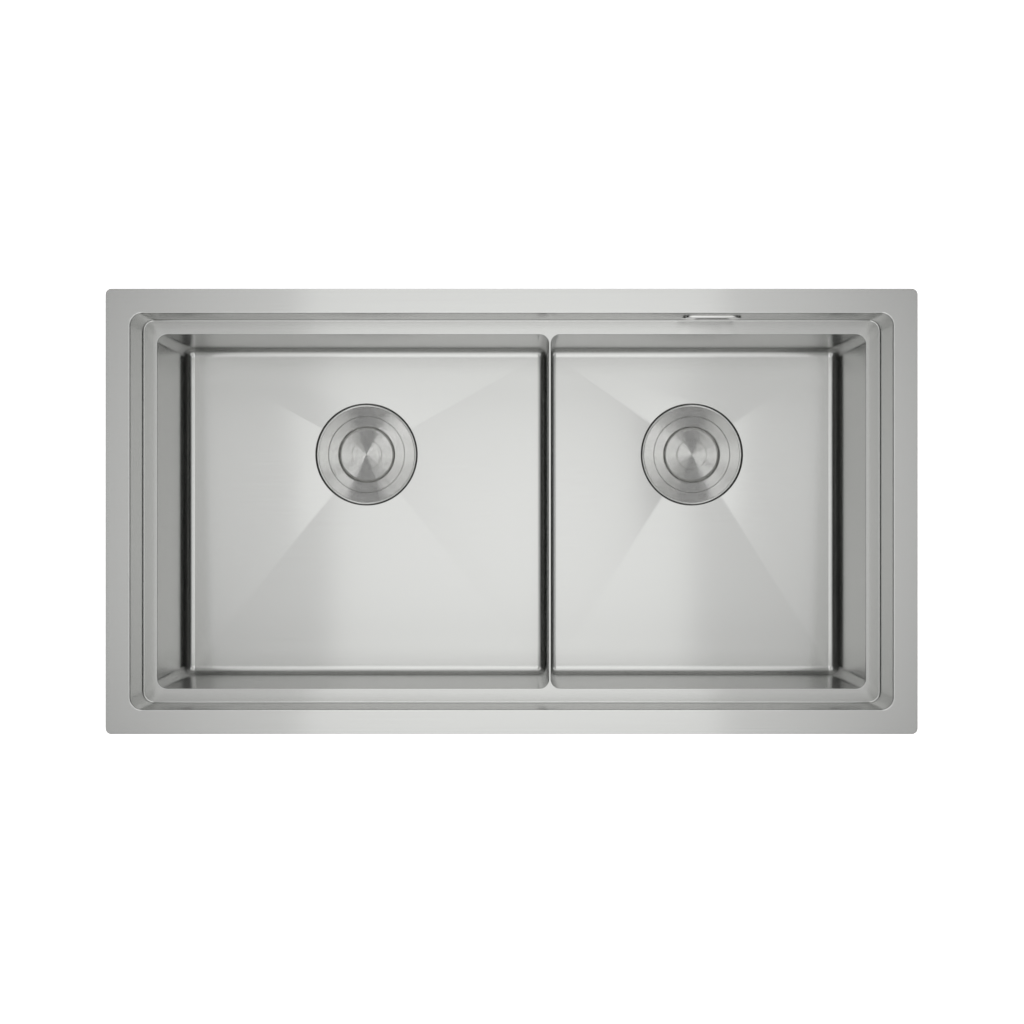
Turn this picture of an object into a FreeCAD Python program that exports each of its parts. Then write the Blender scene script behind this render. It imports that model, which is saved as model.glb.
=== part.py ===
import FreeCAD, Part
import math
import os
from FreeCAD import Vector

os.makedirs("parts", exist_ok=True)

# Double-bowl kitchen sink in millimetres. The origin is the middle of the rim's underside, +Y is the back.

# Sheet steel of the sink, and the overrun of every cut
sheet = 1.2
overrun = 5.0

# Rim: the flat flange that lies on the worktop
rim_long = 820.0
rim_deep = 450.0
rim_wide = 25.0
rim_corner_r = 6.0
rim_bend = 1.0

# Step: the upper tier, with a ledge at its foot that carries a board or a rack
step_depth = 60.0
step_corner_r = 12.0
step_bend = 1.4
ledge_wide = 15.0
lip_bevel = 0.7

# Bowls: the floor falls from its edge to the drain as four flat facets
bowl_depth = 220.0
bowl_bend_r = 10.0
divider_x = 40.0
floor_fall = 6.0
drain_from_back = 120.0

# Drain opening: a pressed recess in the floor, with a seat for the strainer
recess_gap = 2.8
recess_lip = 0.5
recess_mouth_high = 4.0
recess_foot = 1.5
hole_gap = 1.1

# Strainer body: flange, pocket for the basket and the lid, cup with a rolled thread, threaded neck
cup_r = 39.5
cup_depth = 50.0
pocket_step = 4.2
flange_wide = 10.1
flange_thick = 1.4
flange_bevel = 0.6
strainer_wall = 1.2
cup_bend = 7.0
neck_r = 23.9
neck_bore_r = 19.5
neck_long = 26.0

# Seals and nut that clamp the strainer to the floor
flange_gasket_thick = 1.0
gasket_edge_gap = 1.0
floor_gasket_thick = 3.0
floor_gasket_wide = 12.0
friction_ring_thick = 1.2
gasket_gap = 0.3
thread_gap = 0.1
lock_nut_high = 15.0
lock_nut_wall = 7.0
lock_nut_foot_high = 3.5
lock_nut_sides = 8

# Lift-out basket
basket_sheet = 0.8
basket_gap = 0.9
basket_depth = 34.0
basket_bend = 3.0
wall_slot_count = 12
wall_slot_wide = 3.0
wall_slot_long = 18.0
wall_slot_rise = 8.0
floor_slot_count = 10
floor_slot_wide = 3.0
floor_slot_start_r = 13.0
floor_slot_edge = 7.6

# Pull post through the basket's floor, with a button that holds the rubber plug
pull_r = 8.5
pull_thick = 5.0
post_r = 3.8
post_high = 16.0
button_r = 7.0
button_thick = 2.5
plug_lap = 6.5
plug_thick = 5.0
plug_hub_r = 10.0
plug_rest_gap = 0.3

# Lid: a flat ring round a finger dish, with a turned knob
lid_gap = 0.7
lid_sheet = 1.0
lid_flat = 10.5
dish_slope = 4.0
dish_depth = 7.0
finger_gap = 11.5
knob_thick = 3.6
knob_rise = 0.5
knob_stem_r = 8.0
knob_bevel = 0.8

# Overflow in the back wall of the step, over the right bowl
overflow_drop = 30.0
overflow_slot_long = 36.0
overflow_slot_high = 8.0
trim_long = 60.0
trim_high = 20.0
trim_thick = 2.3
trim_bevel = 1.0
overflow_gasket_thick = 2.0
housing_overlap = 3.0
housing_deep = 21.0
housing_wall = 2.2
housing_bevel = 1.4
spigot_r = 9.0
spigot_wall = 2.0
spigot_long = 30.0

# Sound-deadening pads on the outside of the bowls
pad_thick = 2.0
pad_margin = 34.0
pad_high = 96.0
pad_drain_gap = 12.0

# Levels, half sizes and radii that follow from the values above
rim_top = sheet
ledge_top = rim_top - step_depth
ledge_under = ledge_top - sheet
floor_z = rim_top - bowl_depth
step_x = rim_long / 2 - rim_wide
step_y = rim_deep / 2 - rim_wide
bowl_x = step_x - ledge_wide
bowl_y = step_y - ledge_wide
bowl_spans = {"left": (-bowl_x, divider_x - sheet), "right": (divider_x + sheet, bowl_x)}

flange_top = floor_z - floor_fall
flange_under = flange_top - flange_thick
seat_z = flange_under - flange_gasket_thick
seat_under = seat_z - sheet
pocket_r = cup_r + pocket_step
collar_r = pocket_r + strainer_wall
flange_r = collar_r + flange_wide
recess_r = flange_r + recess_gap
lid_r = pocket_r - lid_gap
dish_r = lid_r - lid_flat
dish_foot_r = dish_r - dish_slope
knob_r = dish_foot_r - finger_gap
basket_r = cup_r - basket_gap
floor_slot_end_r = basket_r - floor_slot_edge
plug_r = neck_bore_r + plug_lap
hole_r = collar_r + hole_gap
pocket_floor = flange_top - lid_sheet - basket_sheet
cup_floor = flange_top - cup_depth
cup_under = cup_floor - strainer_wall
cup_outer_r = cup_r + strainer_wall
neck_end = cup_under - neck_long
friction_ring_top = seat_under - floor_gasket_thick
lock_nut_top = friction_ring_top - friction_ring_thick
basket_under = pocket_floor - basket_depth
basket_floor = basket_under + basket_sheet
plug_under = cup_floor + plug_rest_gap
overflow_back = step_y + sheet
housing_front = overflow_back + overflow_gasket_thick
same_place = sheet / 100

up = Vector(0, 0, 1)


def block(x_span, y_span, z_span):
    """Box between three pairs of values."""
    (x0, x1), (y0, y1), (z0, z1) = x_span, y_span, z_span
    return Part.makeBox(x1 - x0, y1 - y0, z1 - z0, Vector(x0, y0, z0))


def is_upright(edge):
    a, b = (v.Point for v in edge.Vertexes)
    return math.hypot(a.x - b.x, a.y - b.y) < same_place


def is_level(edge, height):
    return all(abs(v.Z - height) < same_place for v in edge.Vertexes)


def is_within(edge, half_x, half_y):
    return all(abs(v.X) < half_x + same_place and abs(v.Y) < half_y + same_place for v in edge.Vertexes)


def rounded_block(x_span, y_span, z_span, corner_r):
    """Box with its four upright edges rounded."""
    box = block(x_span, y_span, z_span)
    return box.makeFillet(corner_r, [e for e in box.Edges if is_upright(e)])


def tub(x_span, y_span, z_span, bend_r):
    """Box with its upright edges and its bottom edges rounded alike."""
    box = block(x_span, y_span, z_span)
    bends = [e for e in box.Edges if is_upright(e) or is_level(e, z_span[0])]
    return box.makeFillet(bend_r, bends)


def pyramid(x_span, y_span, base_z, apex):
    """Four flat facets that run down from a level rectangle to one point."""
    (x0, x1), (y0, y1) = x_span, y_span
    corners = [Vector(x, y, base_z) for x, y in ((x0, y0), (x1, y0), (x1, y1), (x0, y1))]
    facets = [Part.Face(Part.makePolygon(corners + corners[:1]))]
    for a, b in zip(corners, corners[1:] + corners[:1]):
        facets.append(Part.Face(Part.makePolygon([a, b, apex, a])))
    return Part.Solid(Part.Shell(facets))


def pill(middle, long, high, y_span):
    """Flat bar with round ends, long along X and high along Z, between two values of Y."""
    y0, y1 = y_span
    reach = long / 2 - high / 2
    low, top = middle.z - high / 2, middle.z + high / 2
    corners = [Vector(x, y0, z) for x, z in (
        (middle.x - reach, low), (middle.x + reach, low), (middle.x + reach, top), (middle.x - reach, top))]
    right_tip = Vector(middle.x + long / 2, y0, middle.z)
    left_tip = Vector(middle.x - long / 2, y0, middle.z)
    outline = Part.Wire([
        Part.LineSegment(corners[0], corners[1]).toShape(),
        Part.Arc(corners[1], right_tip, corners[2]).toShape(),
        Part.LineSegment(corners[2], corners[3]).toShape(),
        Part.Arc(corners[3], left_tip, corners[0]).toShape(),
    ])
    return Part.Face(outline).extrude(Vector(0, y1 - y0, 0))


def disc(centre, radius, z_span):
    """Upright cylinder over a point, between two heights."""
    return Part.makeCylinder(radius, z_span[1] - z_span[0], Vector(centre.x, centre.y, z_span[0]), up)


def turned(centre, outline):
    """Solid of revolution about the upright axis through a point, from (radius, height) corners."""
    corners = [Vector(centre.x + r, centre.y, z) for r, z in outline]
    face = Part.Face(Part.makePolygon(corners + corners[:1]))
    return face.revolve(Vector(centre.x, centre.y, 0), up, 360)


def ring(centre, inner_r, outer_r, z_span):
    z0, z1 = z_span
    return turned(centre, [(inner_r, z0), (outer_r, z0), (outer_r, z1), (inner_r, z1)])


def bevel_rings(solid, size, rings):
    """Bevels the circular edges that have the given (radius, height)."""
    picked = []
    for edge in solid.Edges:
        if not isinstance(edge.Curve, Part.Circle):
            continue
        for radius, height in rings:
            at_radius = abs(edge.Curve.Radius - radius) < same_place
            at_height = abs(edge.Curve.Center.z - height) < same_place
            if at_radius and at_height:
                picked.append(edge)
    return solid.makeChamfer(size, picked)


def around(shape, centre, count):
    """Copies of a shape, evenly turned about the upright axis through a point."""
    copies = []
    for n in range(count):
        copy = shape.copy()
        copy.rotate(Vector(centre.x, centre.y, 0), up, 360 * n / count)
        copies.append(copy)
    return copies


def drain_centre(side):
    x0, x1 = bowl_spans[side]
    return Vector((x0 + x1) / 2, bowl_y - drain_from_back, 0)


overflow_middle = Vector(drain_centre("right").x, step_y, rim_top - overflow_drop)


# Deck: rim, step wall and ledge in one bent sheet, with an opening for each bowl and the overflow's slot
def deck():
    rim_x = (-rim_long / 2, rim_long / 2)
    rim_y = (-rim_deep / 2, rim_deep / 2)
    rim = rounded_block(rim_x, rim_y, (0, rim_top), rim_corner_r)
    wall_x = step_x + sheet
    wall_y = step_y + sheet
    pan = rounded_block((-wall_x, wall_x), (-wall_y, wall_y), (ledge_under, rim_top), step_corner_r + sheet)
    pan = pan.makeChamfer(step_bend + sheet / 2, [e for e in pan.Edges if is_level(e, ledge_under)])
    z_span = (ledge_top, rim_top + overrun)
    hollow = rounded_block((-step_x, step_x), (-step_y, step_y), z_span, step_corner_r)
    hollow = hollow.makeChamfer(step_bend, [e for e in hollow.Edges if is_level(e, ledge_top)])
    body = rim.fuse(pan).cut(hollow)
    mouth = [e for e in body.Edges if is_level(e, rim_top) and is_within(e, step_x, step_y)]
    body = body.makeChamfer(rim_bend, mouth)
    for x_span in bowl_spans.values():
        z_span = (ledge_under - overrun, ledge_top + overrun)
        body = body.cut(rounded_block(x_span, (-bowl_y, bowl_y), z_span, bowl_bend_r))
    lips = [e for e in body.Edges if is_level(e, ledge_top) and is_within(e, bowl_x, bowl_y)]
    body = body.makeChamfer(lip_bevel, lips)
    y_span = (step_y - overrun, step_y + overrun)
    return body.cut(pill(overflow_middle, overflow_slot_long, overflow_slot_high, y_span))


# Bowls: welded under the ledge, with a pressed recess for each strainer
def bowl_volume(side, wall):
    """Space inside a bowl, or with a wall the space inside its outer faces, down to the strainer's seat."""
    x0, x1 = bowl_spans[side]
    centre = drain_centre(side)
    base_z = floor_z - wall
    wall_y = (-bowl_y - wall, bowl_y + wall)
    body = tub((x0 - wall, x1 + wall), wall_y, (base_z, ledge_under), bowl_bend_r + wall)
    flat_x = (x0 + bowl_bend_r, x1 - bowl_bend_r)
    flat_y = (-bowl_y + bowl_bend_r, bowl_y - bowl_bend_r)
    apex = Vector(centre.x, centre.y, base_z - floor_fall)
    body = body.fuse(pyramid(flat_x, flat_y, base_z, apex))
    well = disc(centre, recess_r + wall, (seat_z - wall, floor_z))
    return body.fuse(bevel_rings(well, recess_foot, [(recess_r + wall, seat_z - wall)]))


def bowl(side):
    centre = drain_centre(side)
    lip_z = flange_top + recess_lip
    mouth_z = lip_z + recess_mouth_high
    mouth_r = recess_r + recess_mouth_high
    mouth = turned(centre, [(0, lip_z), (recess_r, lip_z), (mouth_r, mouth_z), (0, mouth_z)])
    hole = disc(centre, hole_r, (seat_under - overrun, seat_z + overrun))
    return bowl_volume(side, sheet).cut(bowl_volume(side, 0)).cut(mouth).cut(hole)


# Rubber pads stuck to the outside of the bowls
def wall_pads(side):
    """Sheets on the front, the back and the outer side of a bowl."""
    x0, x1 = bowl_spans[side]
    middle_z = (ledge_under + floor_z) / 2
    z_span = (middle_z - pad_high / 2, middle_z + pad_high / 2)
    long_x = (x0 + pad_margin, x1 - pad_margin)
    outer_y = bowl_y + sheet
    outer_x = bowl_x + sheet
    side_x = (-outer_x - pad_thick, -outer_x) if side == "left" else (outer_x, outer_x + pad_thick)
    return [
        block(long_x, (-outer_y - pad_thick, -outer_y), z_span),
        block(long_x, (outer_y, outer_y + pad_thick), z_span),
        block(side_x, (-bowl_y + pad_margin, bowl_y - pad_margin), z_span),
    ]


def floor_pad(side):
    """Sheet that follows the underside of a bowl's floor, open round the drain."""
    x0, x1 = bowl_spans[side]
    skin = bowl_volume(side, sheet)
    lower = skin.copy()
    lower.translate(Vector(0, 0, -pad_thick))
    z_span = (seat_under - overrun, floor_z)
    area = block((x0 + pad_margin, x1 - pad_margin), (-bowl_y + pad_margin, bowl_y - pad_margin), z_span)
    area = area.cut(disc(drain_centre(side), recess_r + pad_drain_gap, z_span))
    return area.common(lower).cut(skin)


# Strainer body and what clamps it to the floor
def strainer_body(centre):
    collar_end = pocket_floor - strainer_wall
    body = turned(centre, [
        (flange_r, flange_under), (flange_r, flange_top), (pocket_r, flange_top), (pocket_r, pocket_floor),
        (cup_r, pocket_floor), (cup_r, cup_floor), (neck_bore_r, cup_floor), (neck_bore_r, neck_end),
        (neck_r, neck_end), (neck_r, cup_under), (cup_outer_r, cup_under), (cup_outer_r, collar_end),
        (collar_r, collar_end), (collar_r, flange_under),
    ])
    body = bevel_rings(body, cup_bend, [(cup_r, cup_floor), (cup_outer_r, cup_under)])
    return bevel_rings(body, flange_bevel, [(flange_r, flange_top)])


def flange_gasket(centre):
    return ring(centre, hole_r, flange_r - gasket_edge_gap, (seat_z, flange_under))


def floor_gasket(centre):
    inner_r = cup_outer_r + gasket_gap
    return ring(centre, inner_r, inner_r + floor_gasket_wide, (friction_ring_top, seat_under))


def friction_ring(centre):
    inner_r = cup_outer_r + gasket_gap
    return ring(centre, inner_r, inner_r + floor_gasket_wide, (lock_nut_top, friction_ring_top))


def lock_nut(centre):
    """Ring nut with a round foot against the friction ring and flats for a wrench."""
    bore_r = cup_outer_r + thread_gap
    foot_end = lock_nut_top - lock_nut_foot_high
    nut_end = lock_nut_top - lock_nut_high
    corner_r = (bore_r + lock_nut_wall) / math.cos(math.pi / lock_nut_sides)
    corners = []
    for n in range(lock_nut_sides + 1):
        turn = 2 * math.pi * n / lock_nut_sides
        corners.append(centre + Vector(corner_r * math.cos(turn), corner_r * math.sin(turn), nut_end))
    flats = Part.Face(Part.makePolygon(corners)).extrude(Vector(0, 0, lock_nut_top - nut_end))
    foot = disc(centre, cup_outer_r + gasket_gap + floor_gasket_wide, (foot_end, lock_nut_top))
    return flats.fuse(foot).cut(disc(centre, bore_r, (nut_end, lock_nut_top)))


# Lift-out basket with its pull post and plug
def basket_cup(centre):
    rim_z = pocket_floor + basket_sheet
    inner_r = basket_r - basket_sheet
    body = turned(centre, [
        (post_r, basket_under), (basket_r, basket_under), (basket_r, pocket_floor), (lid_r, pocket_floor),
        (lid_r, rim_z), (inner_r, rim_z), (inner_r, basket_floor), (post_r, basket_floor),
    ])
    body = bevel_rings(body, basket_bend, [(basket_r, basket_under), (inner_r, basket_floor)])
    slot_low = basket_floor + wall_slot_rise
    wall_slot = block((centre.x + floor_slot_end_r, centre.x + cup_r),
                      (centre.y - wall_slot_wide / 2, centre.y + wall_slot_wide / 2),
                      (slot_low, slot_low + wall_slot_long))
    floor_slot = block((centre.x + floor_slot_start_r, centre.x + floor_slot_end_r),
                       (centre.y - floor_slot_wide / 2, centre.y + floor_slot_wide / 2),
                       (basket_under - overrun, basket_floor + overrun))
    slots = around(wall_slot, centre, wall_slot_count) + around(floor_slot, centre, floor_slot_count)
    return body.cut(Part.Compound(slots))


def pull_post(centre):
    """Turned post: a pull knob above the basket's floor and a button below the plug."""
    pull_top = basket_floor + post_high
    pull_low = pull_top - pull_thick
    button_top = plug_under + button_thick
    return turned(centre, [
        (0, plug_under), (button_r, plug_under), (button_r, button_top), (post_r, button_top),
        (post_r, pull_low), (pull_r, pull_low), (pull_r, pull_top), (0, pull_top),
    ])


def plug(centre):
    """Rubber disc over the outlet, with a hub up to the basket's floor and a pocket for the post's button."""
    plug_top = plug_under + plug_thick
    button_top = plug_under + button_thick
    return turned(centre, [
        (button_r, plug_under), (plug_r, plug_under), (plug_r, plug_top), (plug_hub_r, plug_top),
        (plug_hub_r, basket_under), (post_r, basket_under), (post_r, button_top), (button_r, button_top),
    ])


# Lid with its knob
dish_floor = flange_top - dish_depth
dish_under = dish_floor - lid_sheet


def lid(centre):
    """Pressed lid: the sheet keeps its thickness down the sloping wall of the finger dish."""
    slope = math.atan2(dish_depth, dish_r - dish_foot_r)
    shift = lid_sheet * math.tan(slope / 2)
    ring_under = flange_top - lid_sheet
    return turned(centre, [
        (0, dish_floor), (dish_foot_r, dish_floor), (dish_r, flange_top), (lid_r, flange_top),
        (lid_r, ring_under), (dish_r + shift, ring_under), (dish_foot_r + shift, dish_under), (0, dish_under),
    ])


def lid_knob(centre):
    """Turned mushroom knob that stands on the floor of the dish."""
    head_top = flange_top + knob_rise
    head_low = head_top - knob_thick
    body = turned(centre, [
        (0, dish_floor), (knob_stem_r, dish_floor), (knob_stem_r, head_low), (knob_r, head_low),
        (knob_r, head_top), (0, head_top),
    ])
    return bevel_rings(body, knob_bevel, [(knob_r, head_top)])


# Overflow: trim in front of the wall, gasket and housing behind it
def edges_at_y(shape, y):
    return [e for e in shape.Edges if all(abs(v.Y - y) < same_place for v in e.Vertexes)]


def overflow_trim():
    front = step_y - trim_thick
    body = pill(overflow_middle, trim_long, trim_high, (front, step_y))
    slot = pill(overflow_middle, overflow_slot_long, overflow_slot_high, (front - overrun, step_y))
    return body.makeChamfer(trim_bevel, edges_at_y(body, front)).cut(slot)


def overflow_gasket():
    span = (overflow_back, housing_front)
    body = pill(overflow_middle, trim_long, trim_high, span)
    return body.cut(pill(overflow_middle, overflow_slot_long, overflow_slot_high, span))


def overflow_housing():
    """Moulded box behind the wall, with a hose spigot that points down."""
    long = trim_long + housing_overlap
    high = trim_high + housing_overlap
    back = housing_front + housing_deep
    box = pill(overflow_middle, long, high, (housing_front, back))
    box = box.makeChamfer(housing_bevel, edges_at_y(box, back))
    middle = Vector(overflow_middle.x, housing_front + housing_deep / 2, 0)
    z_span = (overflow_middle.z - high / 2 - spigot_long, overflow_middle.z)
    y_span = (housing_front, back - housing_wall)
    cavity = pill(overflow_middle, overflow_slot_long, high - 2 * housing_wall, y_span)
    body = box.fuse(disc(middle, spigot_r, z_span))
    return body.cut(cavity).cut(disc(middle, spigot_r - spigot_wall, z_span))


def save(name, solids):
    """Writes one node from its separate solids."""
    shape = Part.Compound([s.removeSplitter() for s in solids])
    shape.exportStep(os.path.join("parts", name + ".step"))


sides = list(bowl_spans)
centres = {side: drain_centre(side) for side in sides}

save("deck", [deck()])
save("overflow_trim", [overflow_trim()])
save("overflow_gasket", [overflow_gasket()])
save("overflow_housing", [overflow_housing()])
save("wall_pads", wall_pads("left") + wall_pads("right"))
save("floor_pads", [floor_pad(side) for side in sides])

# What is alike at both drains and stays in the sink is a pair in one node
fixed_pairs = {
    "strainer_bodies": strainer_body,
    "flange_gaskets": flange_gasket,
    "floor_gaskets": floor_gasket,
    "friction_rings": friction_ring,
    "lock_nuts": lock_nut,
}
for name, make in fixed_pairs.items():
    save(name, [make(centres[side]) for side in sides])

# What lifts out is a node of its own at each drain
lifted = {"basket_cup": basket_cup, "pull_post": pull_post, "plug": plug, "lid": lid, "lid_knob": lid_knob}
for side in sides:
    save(side + "_bowl", [bowl(side)])
    for name, make in lifted.items():
        save(side + "_" + name, [make(centres[side])])
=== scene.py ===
import bpy
import bmesh
import math
from mathutils import Matrix, Vector


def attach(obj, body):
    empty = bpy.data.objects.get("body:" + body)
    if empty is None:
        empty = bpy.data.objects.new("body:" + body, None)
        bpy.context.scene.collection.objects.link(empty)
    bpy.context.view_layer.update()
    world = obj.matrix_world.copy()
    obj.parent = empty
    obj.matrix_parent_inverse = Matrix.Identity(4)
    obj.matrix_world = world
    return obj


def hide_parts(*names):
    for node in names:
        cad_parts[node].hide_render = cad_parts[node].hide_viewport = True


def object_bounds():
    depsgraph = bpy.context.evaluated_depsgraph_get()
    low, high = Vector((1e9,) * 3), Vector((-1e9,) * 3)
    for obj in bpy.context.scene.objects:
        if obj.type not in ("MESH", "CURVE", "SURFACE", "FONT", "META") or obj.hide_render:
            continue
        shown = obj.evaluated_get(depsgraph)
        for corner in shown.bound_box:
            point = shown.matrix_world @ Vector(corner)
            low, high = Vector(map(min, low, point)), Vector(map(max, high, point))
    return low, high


# Stainless steel double-bowl sink, seen from straight above. Blender works in metres; the dictionaries hold
# millimetres and degrees, unless a comment says otherwise.

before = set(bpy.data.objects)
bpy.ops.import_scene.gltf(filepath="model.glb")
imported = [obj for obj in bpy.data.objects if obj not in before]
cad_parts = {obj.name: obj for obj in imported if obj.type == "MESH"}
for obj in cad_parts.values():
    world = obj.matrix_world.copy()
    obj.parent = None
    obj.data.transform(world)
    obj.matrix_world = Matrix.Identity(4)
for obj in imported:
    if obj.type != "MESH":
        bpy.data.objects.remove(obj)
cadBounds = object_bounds()
mm = 0.001
print("frame loaded:", len(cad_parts), "solids")


# over the middle of the rim, looking straight down
cameraView = {"lens": 60.05, "sensor": 36.0, "height": 1725.2, "right": 0.4, "down": 0.6}


def addCamera():
    data = bpy.data.cameras.new("topCamera")
    data.lens = cameraView["lens"]
    data.sensor_width = cameraView["sensor"]
    camera = bpy.data.objects.new("topCamera", data)
    camera.location = Vector((cameraView["right"], -cameraView["down"], cameraView["height"])) * mm
    bpy.context.scene.collection.objects.link(camera)
    bpy.context.scene.camera = camera


addCamera()


def linearColour(code):
    channels = [int(code[k:k + 2], 16) / 255 for k in (1, 3, 5)]
    return [c / 12.92 if c <= 0.04045 else ((c + 0.055) / 1.055) ** 2.4 for c in channels] + [1.0]


def addNode(tree, kind, settings={}, inputs={}, links={}):
    node = tree.nodes.new(kind)
    for key, value in settings.items():
        setattr(node, key, value)
    for key, value in inputs.items():
        node.inputs[key].default_value = value
    for key, source in links.items():
        tree.links.new(source, node.inputs[key])
    return node


def newMaterial(name):
    material = bpy.data.materials.new(name)
    material.use_nodes = True
    material.node_tree.nodes.clear()
    return material, material.node_tree


def addPiece(name, bm, material, body, replaced=()):
    mesh = bpy.data.meshes.new(name)
    bm.to_mesh(mesh)
    bm.free()
    mesh.materials.append(material)
    piece = bpy.data.objects.new(name, mesh)
    bpy.context.scene.collection.objects.link(piece)
    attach(piece, body)
    for node in replaced:
        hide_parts(node)
    return piece


def addModifier(piece, name, kind, settings):
    modifier = piece.modifiers.new(name, kind)
    for key, value in settings.items():
        setattr(modifier, key, value)


def weightNormals(piece):
    addModifier(piece, "flatFaces", "WEIGHTED_NORMAL",
                {"mode": "FACE_AREA", "weight": 90, "keep_sharp": True})


def smoothBy(mesh, degrees):
    mesh.shade_smooth()
    mesh.set_sharp_from_angle(angle=math.radians(degrees))


brushed = {
    "colour": "#c5c6c4", "darkColour": "#bfbfbd", "edgeColour": "#f4f4f4",
    "roughness": 0.22, "roughSpread": 0.02, "anisotropy": 0.97,
    # real satin lines are 0.1 mm apart: drawn coarser
    "lineAcross": 0.8, "lineAlong": 110.0, "lineDeep": 0.004,
    # the sheet's slight waviness from pressing
    "waveSize": 180.0, "waveDeep": 0.012,
    # a face whose normal has more X than this is a left or right wall
    "wallFrom": 0.7,
    # keeps the blur's direction off zero on those walls
    "leastRise": 0.001,
}


def brushedSheet():
    # 304 stainless with a fine satin brushing: a grey mirror, blurred most across the lines
    material, tree = newMaterial("brushedStainless304")
    place = addNode(tree, "ShaderNodeTexCoord").outputs["Object"]
    normal = addNode(tree, "ShaderNodeNewGeometry").outputs["Normal"]
    facing = addNode(tree, "ShaderNodeSeparateXYZ", {}, {}, {0: normal})
    # the sheet was brushed along X before it was bent, so the lines run up the left and right walls
    raised = addNode(tree, "ShaderNodeMath", {"operation": "ADD"}, {1: brushed["leastRise"]},
                     {0: facing.outputs["Z"]})
    lowered = addNode(tree, "ShaderNodeMath", {"operation": "MULTIPLY"}, {1: -1.0}, {0: facing.outputs["Y"]})
    blurred = addNode(tree, "ShaderNodeCombineXYZ", {}, {}, {"Y": raised.outputs[0], "Z": lowered.outputs[0]})
    sideways = addNode(tree, "ShaderNodeMath", {"operation": "ABSOLUTE"}, {}, {0: facing.outputs["X"]})
    onSide = addNode(tree, "ShaderNodeMath", {"operation": "GREATER_THAN"}, {1: brushed["wallFrom"]},
                     {0: sideways.outputs[0]})
    fine = 1 / (brushed["lineAcross"] * mm)
    long = 1 / (brushed["lineAlong"] * mm)
    onFlat = addNode(tree, "ShaderNodeMapping", {}, {"Scale": (long, fine, fine)}, {"Vector": place})
    onWall = addNode(tree, "ShaderNodeMapping", {}, {"Scale": (fine, fine, long)}, {"Vector": place})
    # of a Mix node's outputs, 1 is its vector and 2 its colour
    streaks = addNode(tree, "ShaderNodeMix", {"data_type": "VECTOR"}, {},
                      {"Factor": onSide.outputs[0], "A": onFlat.outputs[0], "B": onWall.outputs[0]})
    grain = addNode(tree, "ShaderNodeTexNoise", {}, {"Scale": 1.0, "Detail": 3.0, "Roughness": 0.6},
                    {"Vector": streaks.outputs[1]})
    waves = addNode(tree, "ShaderNodeTexNoise", {}, {"Scale": 1 / (brushed["waveSize"] * mm), "Detail": 1.0},
                    {"Vector": place})
    tone = addNode(tree, "ShaderNodeMix", {"data_type": "RGBA"},
                   {"A": linearColour(brushed["darkColour"]), "B": linearColour(brushed["colour"])},
                   {"Factor": grain.outputs["Fac"]})
    rough = addNode(tree, "ShaderNodeMapRange", {},
                    {"To Min": brushed["roughness"] - brushed["roughSpread"],
                     "To Max": brushed["roughness"] + brushed["roughSpread"]},
                    {"Value": grain.outputs["Fac"]})
    pressed = addNode(tree, "ShaderNodeBump", {}, {"Strength": 1.0, "Distance": brushed["waveDeep"] * mm},
                      {"Height": waves.outputs["Fac"]})
    scratched = addNode(tree, "ShaderNodeBump", {}, {"Strength": 1.0, "Distance": brushed["lineDeep"] * mm},
                        {"Height": grain.outputs["Fac"], "Normal": pressed.outputs[0]})
    steel = addNode(tree, "ShaderNodeBsdfPrincipled", {},
                    {"Metallic": 1.0, "Anisotropic": brushed["anisotropy"],
                     "Specular Tint": linearColour(brushed["edgeColour"])},
                    {"Base Color": tone.outputs[2], "Roughness": rough.outputs[0],
                     "Normal": scratched.outputs[0], "Tangent": blurred.outputs[0]})
    addNode(tree, "ShaderNodeOutputMaterial", links={"Surface": steel.outputs[0]})
    return material


drains = {"left": (-165.6, 65.0), "right": (205.6, 65.0)}
sunray = {
    "colour": "#f6f6f4", "darkColour": "#ececea", "roughness": 0.20,
    # real sunray lines are finer than 0.1 mm: drawn coarser, as waves in the angle round the drain
    "ridges": 300, "jitter": 15.0, "jitterSteps": 3.0,
    # each wave's sides run up to this slope, and keep it from this share of its height on
    "slope": 0.53, "flank": 0.40,
}


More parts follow.
